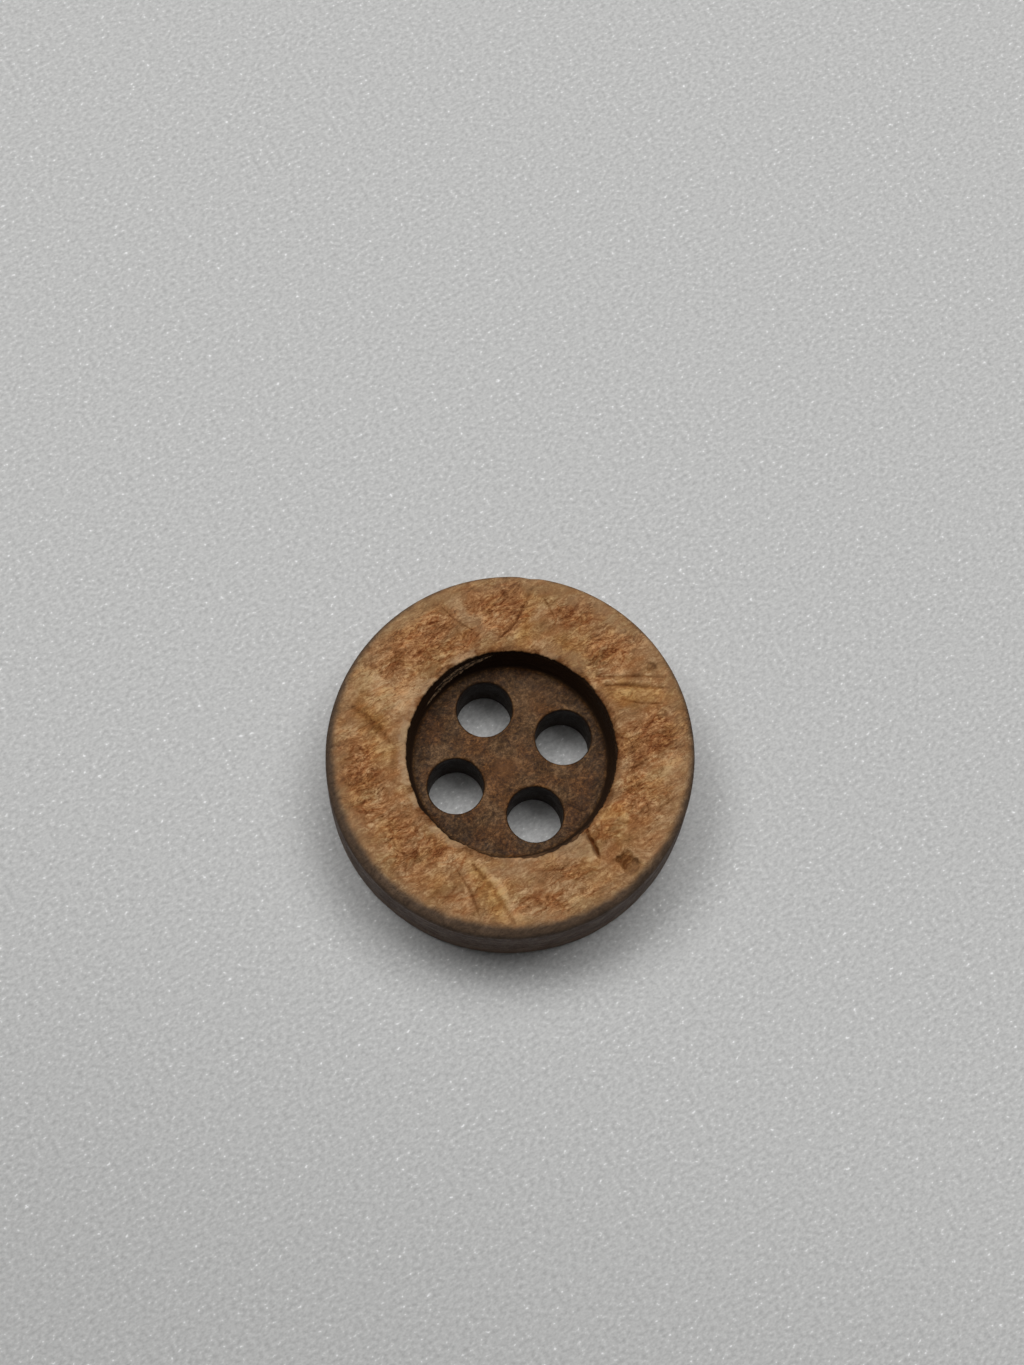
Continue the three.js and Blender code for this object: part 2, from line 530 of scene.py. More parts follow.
# Veins: (points, width, depth)
VEINS = [
    ([(1.8, 3.45), (2.4, 3.65), (3.2, 3.97), (4.0, 4.2)], 0.09, 0.03),
    ([(2.2, 3.25), (2.9, 3.53), (3.5, 3.66), (4.3, 3.92)], 0.11, 0.04),
    ([(2.9, 3.0), (3.6, 3.1), (4.3, 3.35)], 0.07, 0.02),
    ([(-1.25, 5.7), (-1.32, 5.0), (-1.36, 4.3), (-1.6, 3.75), (-1.8, 3.35)], 0.06, 0.04),
    ([(-0.75, 5.45), (-0.45, 5.2), (-0.2, 4.95)], 0.09, 0.03),
    ([(0.75, 4.15), (0.95, 4.35), (1.15, 4.7)], 0.06, 0.02),
    ([(-4.0, 4.0), (-3.4, 3.72), (-2.6, 3.55)], 0.055, 0.008),
    ([(5.25, -0.15), (5.5, 0.1), (5.75, 0.55)], 0.06, 0.02),
    ([(3.7, 0.75), (4.1, 0.95), (4.4, 1.4)], 0.06, 0.02),
    ([(0.1, -4.0), (0.9, -4.45), (1.5, -4.9), (2.1, -5.35)], 0.20, 0.03),
    ([(-5.55, -0.35), (-5.0, -0.48), (-4.4, -0.72), (-3.9, -1.05)], 0.28, 0.02),
    ([(-0.3, -4.35), (0.4, -4.9), (0.9, -5.5)], 0.10, 0.015),
    ([(3.26, -1.60), (3.42, -1.88), (3.66, -1.98), (3.74, -2.15), (3.97, -2.36)], 0.14, 0.10),
]

# Pale ridges that run beside veins: (points, width)
RIDGES = [
    ([(2.0, 3.38), (2.7, 3.6), (3.3, 3.8), (4.2, 4.08)], 0.12),
    ([(2.6, 3.25), (3.3, 3.42), (4.2, 3.65)], 0.16),
    ([(-1.1, 5.6), (-1.15, 4.9), (-1.1, 4.3), (-1.4, 3.75)], 0.20),
    ([(0.9, 4.1), (1.1, 4.3), (1.3, 4.6)], 0.06),
    ([(0.5, -3.95), (1.2, -4.4), (1.9, -4.95), (2.4, -5.3)], 0.22),
    ([(-0.1, -4.5), (0.3, -5.0), (0.5, -5.5)], 0.10),
    ([(-5.6, 0.15), (-4.8, 0.0), (-4.0, -0.1)], 0.20),
    ([(-3.4, 2.1), (-4.4, 1.85)], 0.12),
    ([(3.1, -3.55), (3.7, -3.8), (4.2, -4.2)], 0.14),
    ([(3.55, -2.20), (3.85, -2.42), (3.62, -2.58)], 0.22),
]

# Pits: (centre, length, width, direction in degrees, depth)
PITS = [
    ((4.97, -2.16), 0.70, 0.52, -25, 0.17),
    ((4.60, -2.22), 0.22, 0.20, 0, 0.05),
    ((3.51, 4.44), 0.32, 0.26, 30, 0.08),
    ((3.68, -2.07), 0.62, 0.11, -43, 0.04),
]

# Short torn fibres that lie scattered in the rusty patches: how many there are in a patch of full
# strength and 1 mm across, and their lengths, widths and depth
TICKS_PER_PATCH = 16
TICK_LENGTHS = (0.22, 0.75)
TICK_WIDTHS = (0.045, 0.09)
TICK_DEPTH = 0.008

# Flake that has come off beside the well: lines through neighbouring corners bound it
CHIP = [(3.25, -1.72), (3.94, -2.34), (3.58, -2.62), (3.05, -2.74), (2.60, -2.98), (2.35, -2.60)]
CHIP_DEPTH = 0.045

# The torn edge round the well: how ragged it is in the large and in the small, how far it hangs over
# the wall on average, how much more or less on its two sides, and the direction, in degrees, of the
# side where it hangs over farthest
TEAR_WAVES = 0.020
TEAR_FRAY = 0.018
OVERHANG = 0.03
OVERHANG_LEAN = 0.035
OVERHANG_SIDE = 200

# Places where the skin has torn back from the well: (direction in degrees, width, depth)
TEARS = [
    (-24, 0.5, 0.05),
    (-35, 0.7, 0.11),
    (-46, 0.6, 0.07),
    (-57, 1.0, 0.12),
    (-78, 0.8, 0.07),
    (20, 0.6, 0.03),
    (63, 0.4, 0.03),
    (256, 0.3, 0.06),
    (232, 0.5, 0.05),
    (140, 1.4, 0.04),
]


def marks(x, y, patches, warp):
    """Oval marks whose outlines are bent by the warp."""
    bent_x = x + warp * fractal_noise(x, y, size=0.8, seed=101)
    bent_y = y + warp * fractal_noise(x, y, size=0.8, seed=111)
    return strongest(strength * blot(bent_x, bent_y, *oval, power=2.6) for *oval, strength in patches)


def scatter_ticks():
    """(points, width) of short bent lines, most of them along the grain."""
    random = np.random.default_rng(191)
    ticks = []
    for (cx, cy), length, width, degrees, strength in RUST_PATCHES:
        count = round(TICKS_PER_PATCH * strength * math.sqrt(length * width))
        angle = math.radians(degrees)
        for _ in range(count):
            along = 0.3 * length * random.normal()
            across = 0.3 * width * random.normal()
            mx = cx + along * math.cos(angle) - across * math.sin(angle)
            my = cy + along * math.sin(angle) + across * math.cos(angle)
            half = random.uniform(*TICK_LENGTHS) / 2
            first = GRAIN + random.normal(0, 0.35)
            second = first + random.normal(0, 0.5)
            points = [
                (mx - half * math.cos(first), my - half * math.sin(first)),
                (mx, my),
                (mx + half * math.cos(second), my + half * math.sin(second)),
            ]
            ticks.append((points, random.uniform(*TICK_WIDTHS)))
    return ticks


def tick_mask(x, y):
    """1 on the short torn fibres, 0 between them."""
    mask = np.zeros_like(x)
    for points, width in scatter_ticks():
        mx, my = points[1]
        near = np.hypot(x - mx, y - my) < TICK_LENGTHS[1]
        mask[near] = np.maximum(mask[near], line_mark(x[near], y[near], points, width))
    return mask


def inside_outline(x, y, corners, blur):
    """1 on the inner side of every line through two neighbouring corners, 0 outside any of them.
    The corners go round clockwise."""
    depth = np.full_like(x, 1e9)
    for (x0, y0), (x1, y1) in zip(corners, corners[1:] + corners[:1]):
        length = math.hypot(x1 - x0, y1 - y0)
        depth = np.minimum(depth, ((y1 - y0) * (x - x0) - (x1 - x0) * (y - y0)) / length)
    return smoothstep(-blur, blur, depth)


def chip_mask(x, y):
    """1 where the flake has come off, 0 elsewhere."""
    ragged = 0.05 * fractal_noise(x, y, size=0.3, seed=141)
    return inside_outline(x + ragged, y - ragged, CHIP, 0.03)


def pit_mark(x, y, centre, length, width, degrees):
    """1 in a pit with steep ragged sides, 0 outside it."""
    bent_x = x + 0.06 * fractal_noise(x, y, size=0.25, seed=151)
    bent_y = y + 0.06 * fractal_noise(x, y, size=0.25, seed=221)
    return blot(bent_x, bent_y, centre, length, width, degrees, power=6)


def ring_masks(x, y):
    """Each kind of mark on the skin, by name, as numbers between 0 and 1."""
    radius = np.hypot(x, y)
    chip = chip_mask(x, y)
    pits = strongest(pit_mark(x, y, *oval) for *oval, _ in PITS)

    # Along the outline
    haze_edge = radius + 0.2 * fractal_noise(x, y, size=0.7, seed=131)
    # The burnt edge reaches farther in towards -Y: painted shade on the side away from the lamps
    skin_edge = OUTER_RADIUS - SKIN_EDGE_INSET + SKIN_EDGE_LEAN * y / radius
    burnt_edge = radius + 0.045 * fractal_noise(x, y, size=0.35, seed=121)

    # Along the well, where the skin is either worn to a pale lip with a painted highlight, stronger
    # towards -X, or frayed and dark
    worn = smoothstep(-0.1, 0.3, fractal_noise(x, y, size=0.9, seed=171) - 0.3 * (x + y) / radius)
    lip_edge = radius - WELL_MOUTH_RADIUS + 0.08 * fractal_noise(x, y, size=0.15, seed=181)
    lip_wear_and_highlight = worn * (0.7 - 0.3 * x / radius) * smoothstep(0.30, 0.06, lip_edge)
    fray = (1 - worn) * smoothstep(0.26, 0.04, lip_edge)
    return {
        "rust": marks(x, y, RUST_PATCHES, 0.35) * (1 - chip),
        "straw": marks(x, y, STRAW_PATCHES, 0.3),
        "gold": marks(x, y, GOLD_PATCHES, 0.2),
        "grey": np.maximum(marks(x, y, GREY_PATCHES, 0.2), chip),
        "stain": marks(x, y, DARK_PATCHES, 0.12),
        "vein": strongest(line_mark(x, y, points, width) for points, width, _ in VEINS),
        "ridge": strongest(line_mark(x, y, *ridge) for ridge in RIDGES),
        "tick": tick_mask(x, y),
        # The material darkens the pits with this mask: painted shade of their hollows, over their golden
        # colour
        "pit": pits * (0.75 + 0.4 * fractal_noise(x, y, size=0.22, seed=201)),
        "haze": smoothstep(OUTER_RADIUS - 0.9, OUTER_RADIUS - 0.35, haze_edge),
        "lip_wear_and_highlight": lip_wear_and_highlight,
        "fray": fray,
        # Burnt outer edge, with painted shade towards -Y
        "burnt_and_shade": smoothstep(skin_edge - 0.18, skin_edge + 0.12, burnt_edge),
    }


def ring_relief(x, y, ticks):
    """Height of the face above or below its plane."""
    height = FACE_WAVES * fractal_noise(x, y, size=1.3, seed=51, octaves=2)
    height += FIBRE_HEIGHT * fractal_noise(x, y, size=0.14, seed=61, octaves=2, stretch=4.5)
    pores = fractal_noise(x, y, size=0.10, seed=71, octaves=1, stretch=3.0)
    height -= PORE_DEPTH * smoothstep(0.5, 0.9, pores)
    for points, width, depth in VEINS:
        height -= depth * line_mark(x, y, points, width)
    for ridge in RIDGES:
        height += RIDGE_HEIGHT * line_mark(x, y, *ridge)
    uneven = 0.8 + 0.3 * fractal_noise(x, y, size=0.22, seed=201)
    for *oval, depth in PITS:
        height -= depth * pit_mark(x, y, *oval) * uneven
    height -= CHIP_DEPTH * chip_mask(x, y)
    height -= TICK_DEPTH * ticks
    return height


def ring_profile():
    """(radius, height) points round the ring's section: along its underside from the well outwards,
    up over the outer edge, back along the top and down into the well."""
    edge_centre = (OUTER_RADIUS - FACE_EDGE, THICKNESS - FACE_EDGE)
    skirt = []
    for share in np.linspace(0, 1, SKIRT_STEPS + 1)[:-1]:
        sunk = FACE_EDGE - SKIRT_SINK * (1 - share)
        skirt += arc(*edge_centre, sunk, share * EDGE_ANGLE, 90, 1)[:1]
    outer = skirt + arc(*edge_centre, FACE_EDGE, EDGE_ANGLE, 90, EDGE_STEPS)
    mouth = WELL_MOUTH_RADIUS + WELL_MOUTH_EDGE
    inner = arc(mouth, THICKNESS - WELL_MOUTH_EDGE, WELL_MOUTH_EDGE, 90, 180, 4)
    seat = (well_radius(SKIN_BOTTOM), SKIN_BOTTOM)
    top = [(r, THICKNESS) for r in np.linspace(outer[-1][0], mouth, RING_TOP_ROWS + 1)[1:-1]]
    under = [(r, SKIN_BOTTOM) for r in np.linspace(seat[0], outer[0][0], 6)[1:-1]]
    wall = [(r, z) for r, z in np.linspace(inner[-1], seat, 5)[1:]]
    for drop in SKIRT_DROPS:
        wall.append((well_radius(SKIN_BOTTOM - drop) + SKIRT_SLOPE * drop, SKIN_BOTTOM - drop))
    return under + outer + top + inner + wall


def torn_edge(turn):
    """How far the skin's edge round the well lies outside the turned edge in each direction."""
    x, y = WELL_MOUTH_RADIUS * np.cos(turn), WELL_MOUTH_RADIUS * np.sin(turn)
    tear = TEAR_WAVES * fractal_noise(x, y, size=0.45, seed=81, octaves=2)
    tear += TEAR_FRAY * fractal_noise(x, y, size=0.13, seed=91, octaves=2)
    tear += -OVERHANG + OVERHANG_LEAN * np.cos(turn - math.radians(OVERHANG_SIDE + 180))
    for degrees, width, depth in TEARS:
        tear += dent(turn, WELL_MOUTH_RADIUS, degrees, width, depth)
    return tear


def build_ring():
    profile = np.array(ring_profile())
    angles = np.arange(RING_COLUMNS) * 2 * math.pi / RING_COLUMNS
    radius = np.repeat(profile[None, :, 0], RING_COLUMNS, 0)
    level = np.repeat(profile[None, :, 1], RING_COLUMNS, 0)
    turn = np.repeat(angles[:, None], len(profile), 1)

    # The torn edge round the well and the step in the outline
    near_well = smoothstep(WELL_MOUTH_RADIUS + 0.9, WELL_MOUTH_RADIUS, radius)
    above_seat = smoothstep(SKIN_BOTTOM, SKIN_BOTTOM + 0.08, level)
    radius += torn_edge(turn) * near_well * above_seat
    notch = dent(turn, OUTER_RADIUS, *OUTLINE_NOTCH)
    radius -= notch * smoothstep(OUTER_RADIUS - 0.6, OUTER_RADIUS - 0.2, radius)

    x, y = radius * np.cos(turn), radius * np.sin(turn)
    masks = ring_masks(x, y)
    masks["wall"] = near_well * smoothstep(THICKNESS - 0.05, THICKNESS - 0.10, level)

    # The face is worn down a little, so that its relief doesn't rise above the frame's height
    on_face = smoothstep(THICKNESS - 0.12, THICKNESS - 0.01, level)
    relief = np.minimum(ring_relief(x, y, masks["tick"]) - FACE_WEAR, 0)
    vertices = np.stack([x, y, level + relief * on_face], -1).reshape(-1, 3)
    ring = make_object("skin_ring", vertices, loop_grid(RING_COLUMNS, len(profile)))
    add_masks(ring.data, masks)
    return ring


# ---------------------------------------------------------------------------------------------
# Splinters
# ---------------------------------------------------------------------------------------------

SPLINTER_STEPS = 200

# Slivers of torn fibre: (start and end directions in degrees, start and end heights, size)
SPLINTERS = [
    (168, 119, 2.46, 3.18, 0.95),
    (158, 128, 2.85, 3.16, 0.75),
]

# Their section where they are thickest: (distance off the wall, height)
SPLINTER_SECTION = [
    (-0.04, -0.07),
    (0.04, -0.09),
    (0.11, -0.02),
    (0.10, 0.015),
    (0.04, 0.035),
    (-0.04, 0.04),
]

# How far a sliver wanders up and down, and what share of its thickness varies
SPLINTER_WANDER = 0.022
SPLINTER_UNEVEN = 0.35


def build_splinter(start, end, low, high, size):
    """One sliver along the well's wall, climbing towards the rim."""
    share = np.linspace(0, 1, SPLINTER_STEPS)
    turn = np.radians(start + share * (end - start))
    ragged = fractal_noise(share * 16, share * 0, size=1.0, seed=161 + start, angle=0)
    middle = low + share * (high - low) + SPLINTER_WANDER * ragged
    pointed = np.clip(4 * share * (1 - share), 0.02, 1) ** 0.6
    taper = size * pointed * (1 + SPLINTER_UNEVEN * ragged)
    vertices = []
    for angle, height, scale in zip(turn, middle, taper):
        for off, up in SPLINTER_SECTION:
            radius = well_radius(height) - off * scale
            vertices.append((radius * math.cos(angle), radius * math.sin(angle), height + up * scale))
    rows = len(SPLINTER_SECTION)
    faces = [tuple(range(rows)), tuple(range(len(vertices) - 1, len(vertices) - 1 - rows, -1))]
    for i in range(SPLINTER_STEPS - 1):
        for j in range(rows):
            above = (j + 1) % rows
            near, far = i * rows, (i + 1) * rows
            faces.append((near + j, far + j, far + above, near + above))
    return make_object("well_splinter", vertices, faces)


# ---------------------------------------------------------------------------------------------
# Materials
# ---------------------------------------------------------------------------------------------

def linear(level):
    """A screen colour's level, 0 to 255, as the linear share that nodes use."""
    share = level / 255
    if level <= 10:
        return share / 12.92
    return ((share + 0.055) / 1.055) ** 2.4


def colour(red, green, blue):
    return (linear(red), linear(green), linear(blue), 1)


# Ramps run from dark to light
SKIN_RAMP = ((0.0, colour(96, 58, 26)), (0.5, colour(150, 110, 72)), (1.0, colour(204, 168, 126)))
# The burnt edge's colour, made darker still as painted shade of the outer rounding
BURNT_AND_SHADE_RAMP = ((0.0, colour(46, 35, 26)), (1.0, colour(100, 80, 63)))
TORN_RAMP = ((0.2, colour(52, 35, 22)), (0.9, colour(104, 74, 48)))
SHELL_RAMP = ((0.0, colour(50, 32, 16)), (0.5, colour(90, 63, 36)), (1.0, colour(136, 102, 68)))
SIDE_RAMP = ((0.0, colour(54, 36, 24)), (1.0, colour(94, 69, 50)))
FIBRE_RAMP = ((0.42, colour(44, 31, 22)), (0.6, colour(138, 110, 82)))
PAPER_RAMP = ((0.25, (0.475, 0.475, 0.470, 1)), (0.66, (0.680, 0.680, 0.670, 1)), (0.74, (1, 1, 1, 1)))

# Tints multiply the colour under them, and tones cover it
RUST_TINT = colour(255, 231, 208)
GOLD_TINT = colour(255, 243, 208)
OLIVE_TINT = colour(248, 252, 236)
WARM_TINT = colour(255, 224, 178)
GREY_TONE = colour(150, 121, 90)
HAZE_TONE = colour(143, 115, 84)
# Pale lip round the well: wear, with a painted highlight
LIP_WEAR_AND_HIGHLIGHT_TONE = colour(160, 134, 106)
BORE_TONE = colour(52, 37, 26)
# Painted light reflected from the paper onto the lower side
PAPER_LIGHT_TONE = colour(114, 90, 70)
RUSTY_TONE = colour(116, 76, 42)

# The paper gets darker towards its near side: to this share, between these places along Y
PAPER_SHADE = 0.86
PAPER_SHADE_REACH = (-24, -4)


class Surface:
    """One material's node tree, with short calls for the nodes that this script uses."""

    def __init__(self, name, roughness):
        self.material = bpy.data.materials.new(name)
        self.material.use_nodes = True
        self.tree = self.material.node_tree
        self.shader = self.tree.nodes["Principled BSDF"]
        self.shader.inputs["Roughness"].default_value = roughness
        self.place = self.add("ShaderNodeTexCoord").outputs["Object"]

    def add(self, kind, **inputs):
        node = self.tree.nodes.new(kind)
        for name, value in inputs.items():
            self.feed(node.inputs[name.replace("_", " ")], value)
        return node

    def feed(self, socket, value):
        if isinstance(value, bpy.types.NodeSocket):
            self.tree.links.new(value, socket)
        else:
            socket.default_value = value

    def mask(self, name):
        node = self.add("ShaderNodeAttribute")
        node.attribute_name = name
        return node.outputs["Fac"]

    def math(self, operation, *values):
        node = self.add("ShaderNodeMath")
        node.operation = operation
        for socket, value in zip(node.inputs, values):
            self.feed(socket, value)
        return node.outputs[0]

    def mix(self, share, first, second, blend="MIX"):
        node = self.add("ShaderNodeMix")
        node.data_type = "RGBA"
        node.blend_type = blend
        self.feed(node.inputs["Factor"], share)
        self.feed(node.inputs[6], first)
        self.feed(node.inputs[7], second)
        return node.outputs[2]

    def grained(self, size, stretch=1.0, angle=GRAIN):
        """The place in millimetres over the feature size, squeezed along the grain."""
        node = self.add("ShaderNodeMapping", Vector=self.place)
        node.vector_type = "TEXTURE"
        node.inputs["Rotation"].default_value = (0, 0, angle)
        node.inputs["Scale"].default_value = (size * stretch * MM, size * MM, size * MM)
        return node.outputs[0]

    def noise(self, size, stretch=1.0, detail=3.0, roughness=0.55, distortion=0.0, angle=GRAIN):
        node = self.add("ShaderNodeTexNoise", Vector=self.grained(size, stretch, angle), Scale=1.0)
        node.inputs["Detail"].default_value = detail
        node.inputs["Roughness"].default_value = roughness
        node.inputs["Distortion"].default_value = distortion
        return node.outputs["Fac"]

    def turned_lines(self, spacing):
        """Level lines round the button, as turning and sanding leave them."""
        node = self.add("ShaderNodeMapping", Vector=self.place)
        node.vector_type = "TEXTURE"
        node.inputs["Scale"].default_value = (40 * spacing * MM, 40 * spacing * MM, spacing * MM)
        return self.add("ShaderNodeTexNoise", Vector=node.outputs[0], Scale=1.0).outputs["Fac"]

    def bend(self, size, amount):
        """From here on, patterns are bent by up to about this many millimetres."""
        noise = self.add("ShaderNodeTexNoise", Vector=self.grained(size), Scale=1.0)
        centred = self.add("ShaderNodeVectorMath")
        centred.operation = "MULTIPLY_ADD"
        self.feed(centred.inputs[0], noise.outputs["Color"])
        centred.inputs[1].default_value = (amount * MM,) * 3
        self.feed(centred.inputs[2], self.place)
        self.place = centred.outputs[0]

    def flecks(self, size, stretch, angle):
        """Scattered strokes: 1 in their middle and 0 between them."""
        node = self.add("ShaderNodeTexVoronoi", Vector=self.grained(size, stretch, angle), Scale=1.0)
        chosen = self.add("ShaderNodeSeparateColor", Color=node.outputs["Color"]).outputs[0]
        inside = self.span(node.outputs["Distance"], 0.55, 0.1)
        return self.math("MULTIPLY", inside, self.span(chosen, 0.55, 0.75))

    def threads(self, size, stretch, width, angle=GRAIN):
        """Thin curling lines, where a noise crosses its middle value."""
        value = self.noise(size, stretch=stretch, detail=2, roughness=0.6, distortion=0.5, angle=angle)
        distance = self.math("ABSOLUTE", self.math("SUBTRACT", value, 0.5))
        patchy = self.noise(size * 2.3, stretch=stretch, detail=1, roughness=0.5, angle=angle)
        broken = self.span(patchy, 0.42, 0.58)
        return self.math("MULTIPLY", self.span(distance, width, 0), broken)

    def sum(self, *parts):
        """The total of (value, weight) pairs."""
        total = 0.0
        for value, weight in parts:
            total = self.math("MULTIPLY_ADD", value, weight, total)
        return total

    def ramp(self, value, *stops):
        """A colour that passes through (position, colour) stops."""
        node = self.add("ShaderNodeValToRGB", Fac=value)
        elements = node.color_ramp.elements
        while len(elements) < len(stops):
            elements.new(0.5)
        for element, (position, tone) in zip(elements, stops):
            element.position = position
            element.color = tone
        return node.outputs["Color"]

    def span(self, value, low, high, start=0.0, end=1.0):
        """The start where the value is low and the end where it is high, softly between."""
        node = self.add("ShaderNodeMapRange", Value=value)
        node.interpolation_type = "SMOOTHSTEP"
        node.inputs["From Min"].default_value = low
        node.inputs["From Max"].default_value = high
        node.inputs["To Min"].default_value = start
        node.inputs["To Max"].default_value = end
        return node.outputs[0]

    def bump(self, height, depth):
        """Tilts the shading as a relief of this depth in millimetres would."""
        node = self.add("ShaderNodeBump", Height=height, Strength=1.0, Distance=depth * MM)
        if self.shader.inputs["Normal"].is_linked:
            self.feed(node.inputs["Normal"], self.shader.inputs["Normal"].links[0].from_socket)
        self.feed(self.shader.inputs["Normal"], node.outputs[0])


def skin_material():
    s = Surface("coconut_skin", 0.8)
    s.shader.inputs["Specular IOR Level"].default_value = 0.2
    s.bend(0.7, 0.35)
    cloud = s.noise(0.8, stretch=1.3, detail=4, roughness=0.85)
    grit = s.noise(0.09, stretch=1.5, detail=3, roughness=0.9)
    blotches = s.noise(0.30, stretch=1.8, detail=4, roughness=0.9, distortion=0.5)
    fibres = s.noise(0.15, stretch=4.4, detail=3, roughness=0.8, distortion=0.3)
    threads = s.threads(0.20, stretch=3.2, width=0.03, angle=GRAIN + 0.1)
    curls = s.threads(0.22, stretch=1.6, width=0.025, angle=GRAIN - 0.6)
    long_strokes = s.flecks(0.085, stretch=3.4, angle=GRAIN + 0.25)
    strokes = s.math("MAXIMUM", long_strokes, s.flecks(0.06, stretch=4.5, angle=GRAIN - 0.35))
    rust = s.mask("rust")
    rough = s.span(s.sum((rust, 0.8), (cloud, 2.5)), 1.0, 1.9)
    strokes = s.math("MULTIPLY", strokes, s.sum((rough, 0.8), (1.0, 0.2)))

    # How light the skin is, from 0 to 1: the coarser it is, the stronger its texture
    texture = s.math("SUBTRACT", s.sum((grit, 1.35), (blotches, 1.15), (fibres, 1.0)), 1.74)
    texture = s.math("MULTIPLY", texture, s.sum((rough, 0.7), (1.0, 0.6)))
    light = s.sum(
        (cloud, 1.1),
        (texture, 1.0),
        (rust, -0.07),
        (s.mask("straw"), 0.22),
        (s.mask("grey"), 0.06),
        (s.mask("ridge"), 0.14),
        (s.mask("stain"), -0.24),
        (s.mask("vein"), -0.34),
        (s.mask("tick"), -0.17),
        # Painted shade in the pits' hollows
        (s.mask("pit"), -0.62),
        (s.math("MULTIPLY", threads, s.sum((rough, 0.8), (1.0, 0.2))), -0.26),
        (strokes, -0.30),
        (curls, 0.12),
        # Pale lip: wear with a painted highlight
        (s.mask("lip_wear_and_highlight"), 0.16),
        (s.mask("fray"), -0.36),
    )
    s.feed(s.shader.inputs["Base Color"], skin_colour(s, light, rust, strokes))
    s.feed(s.shader.inputs["Roughness"], s.span(blotches, 0.35, 0.65, 0.9, 0.7))
    s.bump(fibres, 0.02)
    s.bump(blotches, 0.015)
    s.bump(threads, -0.008)
    return s.material


def skin_colour(s, light, rust, strokes):
    """Rusty where fibres are left, golden along veins, greyed where it is worn, dark at the edges: burnt
    outside, with painted shade towards -Y, and torn in the well; pale at the lip, partly with a painted
    highlight.
    """
    tone = s.ramp(light, *SKIN_RAMP)
    blush = s.sum((rust, 0.5), (s.noise(0.4, stretch=2.0, detail=3), 2.2))
    tone = s.mix(s.math("MULTIPLY", s.span(blush, 0.9, 1.6), 0.8), tone, RUST_TINT, "MULTIPLY")
    greenish = s.span(s.noise(0.9, stretch=1.2, detail=3), 0.45, 0.62)
    tone = s.mix(s.math("MULTIPLY", greenish, 0.6), tone, OLIVE_TINT, "MULTIPLY")
    reddened = s.sum((strokes, 0.6), (s.mask("tick"), 0.7))
    tone = s.mix(reddened, tone, RUST_TINT, "MULTIPLY")
    golden = s.sum(
        (s.mask("gold"), 0.8),
        (s.mask("stain"), 0.5),
        (s.mask("vein"), 0.3),
        (s.mask("pit"), 0.9),
    )
    tone = s.mix(golden, tone, GOLD_TINT, "MULTIPLY")
    tone = s.mix(s.math("MULTIPLY", s.mask("grey"), 0.4), tone, GREY_TONE)
    tone = s.mix(s.math("MULTIPLY", s.mask("haze"), 0.3), tone, HAZE_TONE)
    # Pale lip: wear with a painted highlight
    tone = s.mix(s.math("MULTIPLY", s.mask("lip_wear_and_highlight"), 0.5), tone, LIP_WEAR_AND_HIGHLIGHT_TONE)
    # Burnt outer edge, partly painted shade
    tone = s.mix(s.mask("burnt_and_shade"), tone, s.ramp(light, *BURNT_AND_SHADE_RAMP))
    return s.mix(s.mask("wall"), tone, s.ramp(light, *TORN_RAMP))


def shell_material():
    s = Surface("coconut_shell", 0.55)
    s.shader.inputs["Specular IOR Level"].default_value = 0.15
    s.bend(0.5, 0.2)
    cloud = s.noise(0.8, stretch=1.0, detail=5, roughness=0.9)
    speckle = s.noise(0.12, stretch=1.3, detail=3, roughness=0.95)
    threads = s.threads(0.25, stretch=1.8, width=0.02)
    flecks = s.flecks(0.09, stretch=1.6, angle=GRAIN)

    # How light the shell is, from 0 to 1, and its colour in the well and on the back
    light = s.sum(
        (cloud, 2.0),
        (speckle, 2.6),
        (threads, -0.12),
        (flecks, 0.22),
        # Painted shade towards the foot of the well's wall
        (s.mask("foot"), -0.22),
        (s.mask("dull"), -0.13),
    )
    light = s.math("SUBTRACT", light, 1.83)
    tone = s.ramp(light, *SHELL_RAMP)
    warm = s.sum((s.noise(1.1, stretch=1.0, detail=2), 2.0), (s.mask("rusty"), 0.5))
    tone = s.mix(s.math("MULTIPLY", s.span(warm, 0.8, 1.3), 0.8), tone, WARM_TINT, "MULTIPLY")
    tone = s.mix(s.mask("bore"), tone, BORE_TONE)

    # The side is smoother, with level lines, and paler towards the back with painted light reflected
    # from the paper
    lines = s.turned_lines(0.06)
    vessels = s.flecks(0.07, stretch=9.0, angle=GRAIN)
    side_light = s.sum((light, 1.0), (lines, 1.3), (vessels, 0.5), (-0.66, 1.0))
    side = s.ramp(side_light, *SIDE_RAMP)
    side = s.mix(s.math("MULTIPLY", s.mask("painted_paper_light"), 0.5), side, PAPER_LIGHT_TONE)
    tone = s.mix(s.mask("side"), tone, side)
    tone = s.mix(s.math("MULTIPLY", s.mask("rusty"), 0.45), tone, RUSTY_TONE)
    s.feed(s.shader.inputs["Base Color"], tone)
    s.feed(s.shader.inputs["Roughness"], s.span(cloud, 0.4, 0.6, 0.62, 0.45))
    s.bump(speckle, 0.03)
    s.bump(lines, 0.012)
    return s.material


def fibre_material():
    s = Surface("torn_fibre", 0.7)
    s.shader.inputs["Specular IOR Level"].default_value = 0.25
    strands = s.noise(0.06, stretch=3.0, detail=3, roughness=0.8)
    s.feed(s.shader.inputs["Base Color"], s.ramp(strands, *FIBRE_RAMP))
    s.bump(strands, 0.02)
    return s.material


